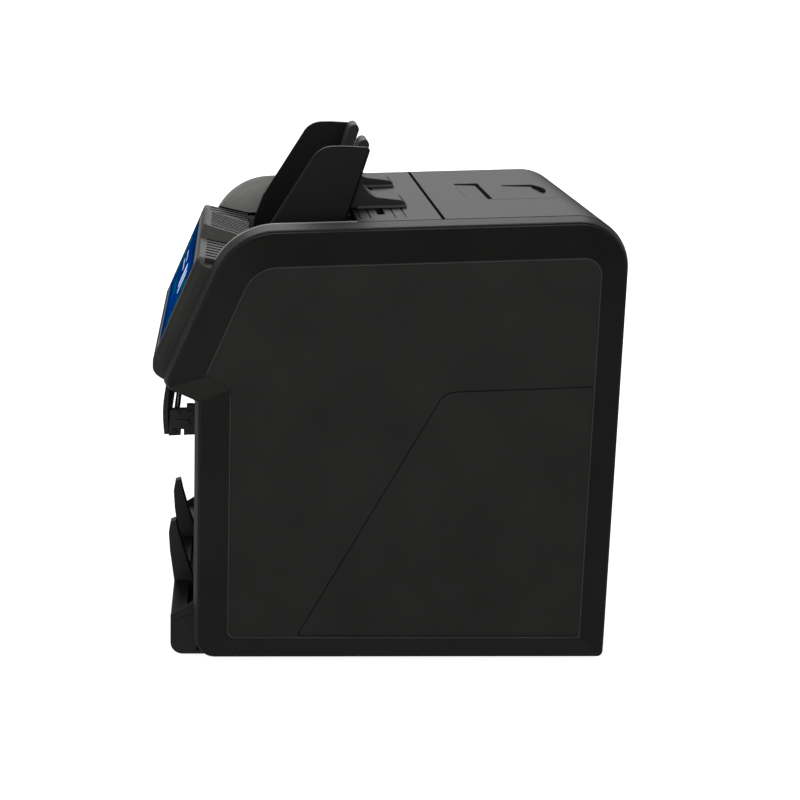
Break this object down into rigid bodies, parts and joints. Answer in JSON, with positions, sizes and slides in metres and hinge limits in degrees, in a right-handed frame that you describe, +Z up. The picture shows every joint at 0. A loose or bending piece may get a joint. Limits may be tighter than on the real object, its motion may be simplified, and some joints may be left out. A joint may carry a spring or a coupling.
{
  "type": "banknote counting machine",
  "caption": "Desktop banknote counter with a top hopper, sloping display, reject pocket and stacker pocket at the front.",
  "frame": {"origin": "middle of the footprint, on the surface that the feet stand on", "axes": "+Z up; the display and the pockets face -Y; +X is on the right of someone who faces the display"},
  "size_m": [0.299, 0.2984, 0.335],
  "materials": {
    "black_textured": "fine spark-eroded texture",
    "charcoal_top": "fine spark-eroded texture",
    "guide_black": "satin",
    "glossy_glass": "clear over black",
    "screen": "lit display",
    "pocket_black": "satin",
    "steel": "ground",
    "pulley_grey": "moulded",
    "pinion_white": "moulded",
    "roller_rubber": "ground rubber",
    "belt_rubber": "moulded rubber",
    "motor_steel": "zinc plated",
    "board_green": "solder mask",
    "black_gloss": "moulded",
    "port_metal": "plated"
  },
  "bodies": {
    "chassis": {"base_tray": "black_textured", "left_frame": "steel", "right_frame": "steel", "frame_rods": "steel", "left_side_cover": "black_textured", "right_side_cover": "black_textured", "left_service_panel": "black_textured", "right_service_panel": "black_textured", "top_cover": "charcoal_top", "rear_cover_hinge_rod": "steel", "back_panel": "black_textured", "display_housing": "charcoal_top", "display_glass": "glossy_glass", "display_module": "screen", "feed_plate": "guide_black", "throat_wall": "guide_black", "retard_pad": "pocket_black", "drive_belt": "belt_rubber", "drive_motor": "motor_steel", "image_sensor": "black_gloss", "note_track": "pocket_black", "reject_tray": "pocket_black", "reject_stop_pin": "steel", "stacker_plate": "pocket_black", "stacker_fingers": "pocket_black", "main_board": "board_green", "power_supply": "motor_steel", "power_inlet": "black_gloss", "switch_frame": "pocket_black", "data_ports": "port_metal", "cover_screws": "steel", "feet": "belt_rubber"},
    "rear_cover": {"rear_cover": "charcoal_top", "latch_pin": "steel"},
    "latch": {"latch_tab": "charcoal_top"},
    "right_guide": {"right_guide": "guide_black", "right_note_rest": "guide_black", "right_rack": "pulley_grey"},
    "left_guide": {"left_guide": "guide_black", "left_note_rest": "guide_black", "left_rack": "pulley_grey"},
    "pinion": {"rack_pinion": "pinion_white"},
    "feed": {"feed_shaft": "steel", "feed_rollers": "roller_rubber", "feed_pulley": "pulley_grey"},
    "upper": {"upper_shaft": "steel", "upper_rollers": "roller_rubber", "upper_pulley": "pulley_grey"},
    "lower": {"lower_shaft": "steel", "lower_rollers": "roller_rubber", "lower_pulley": "pulley_grey"},
    "reject": {"reject_shaft": "steel", "reject_wheels": "roller_rubber", "reject_pulley": "pulley_grey"},
    "stacker": {"stacker_shaft": "steel", "stacker_wheels": "roller_rubber", "stacker_pulley": "pulley_grey"},
    "motor": {"motor_pulley": "pulley_grey"},
    "stop_plate": {"reject_stop": "pocket_black"},
    "switch": {"power_switch": "black_gloss"}
  },
  "joints": [
    {"name": "rear_cover_hinge", "type": "hinge", "parent": "chassis", "child": "rear_cover", "pos_m": [0, 0.1456, 0.15], "axis": [-1, 0, 0], "range_deg": [0, 80]},
    {"name": "latch_hinge", "type": "hinge", "parent": "rear_cover", "child": "latch", "pos_m": [0, 0.059, 0.29141], "axis": [1, 0, 0], "range_deg": [0, 20], "stiffness_Nm_per_rad": 0.02, "springref_deg": -11.46},
    {"name": "right_guide_slide", "type": "slide", "parent": "chassis", "child": "right_guide", "axis": [1, 0, 0], "range_m": [-0.03, 0.005]},
    {"name": "left_guide_slide", "type": "slide", "parent": "chassis", "child": "left_guide", "axis": [1, 0, 0], "range_m": [-0.005, 0.03]},
    {"name": "pinion_spin", "type": "hinge", "parent": "chassis", "child": "pinion", "pos_m": [0, -0.008, 0.262], "axis": [0, 0, 1], "range_deg": [-220, 40]},
    {"name": "stacker_spin", "type": "hinge", "parent": "chassis", "child": "stacker", "pos_m": [0, -0.062, 0.076], "axis": [1, 0, 0], "continuous": true},
    {"name": "feed_spin", "type": "hinge", "parent": "chassis", "child": "feed", "pos_m": [0, -0.062, 0.213], "axis": [1, 0, 0], "continuous": true},
    {"name": "upper_spin", "type": "hinge", "parent": "chassis", "child": "upper", "pos_m": [0, 0.03, 0.214], "axis": [1, 0, 0], "continuous": true},
    {"name": "lower_spin", "type": "hinge", "parent": "chassis", "child": "lower", "pos_m": [0, 0.075, 0.16], "axis": [1, 0, 0], "continuous": true},
    {"name": "reject_spin", "type": "hinge", "parent": "chassis", "child": "reject", "pos_m": [0, -0.08, 0.152], "axis": [1, 0, 0], "continuous": true},
    {"name": "motor_spin", "type": "hinge", "parent": "chassis", "child": "motor", "pos_m": [0, 0.06, 0.06], "axis": [1, 0, 0], "continuous": true},
    {"name": "reject_stop_hinge", "type": "hinge", "parent": "chassis", "child": "stop_plate", "pos_m": [0, -0.1368, 0.1395], "axis": [1, 0, 0], "range_deg": [0, 75]},
    {"name": "power_switch_rock", "type": "hinge", "parent": "chassis", "child": "switch", "pos_m": [0.046, 0.1436, 0.03], "axis": [0, 0, 1], "range_deg": [-9, 9]}
  ],
  "couplings": [
    {"joint": "left_guide_slide", "follows": "right_guide_slide", "ratio": -1},
    {"joint": "pinion_spin", "follows": "right_guide_slide", "rad_per_m": 125},
    {"joint": "feed_spin", "follows": "stacker_spin", "ratio": 1},
    {"joint": "upper_spin", "follows": "stacker_spin", "ratio": 1},
    {"joint": "lower_spin", "follows": "stacker_spin", "ratio": 1},
    {"joint": "reject_spin", "follows": "stacker_spin", "ratio": 1},
    {"joint": "motor_spin", "follows": "stacker_spin", "ratio": 1}
  ]
}
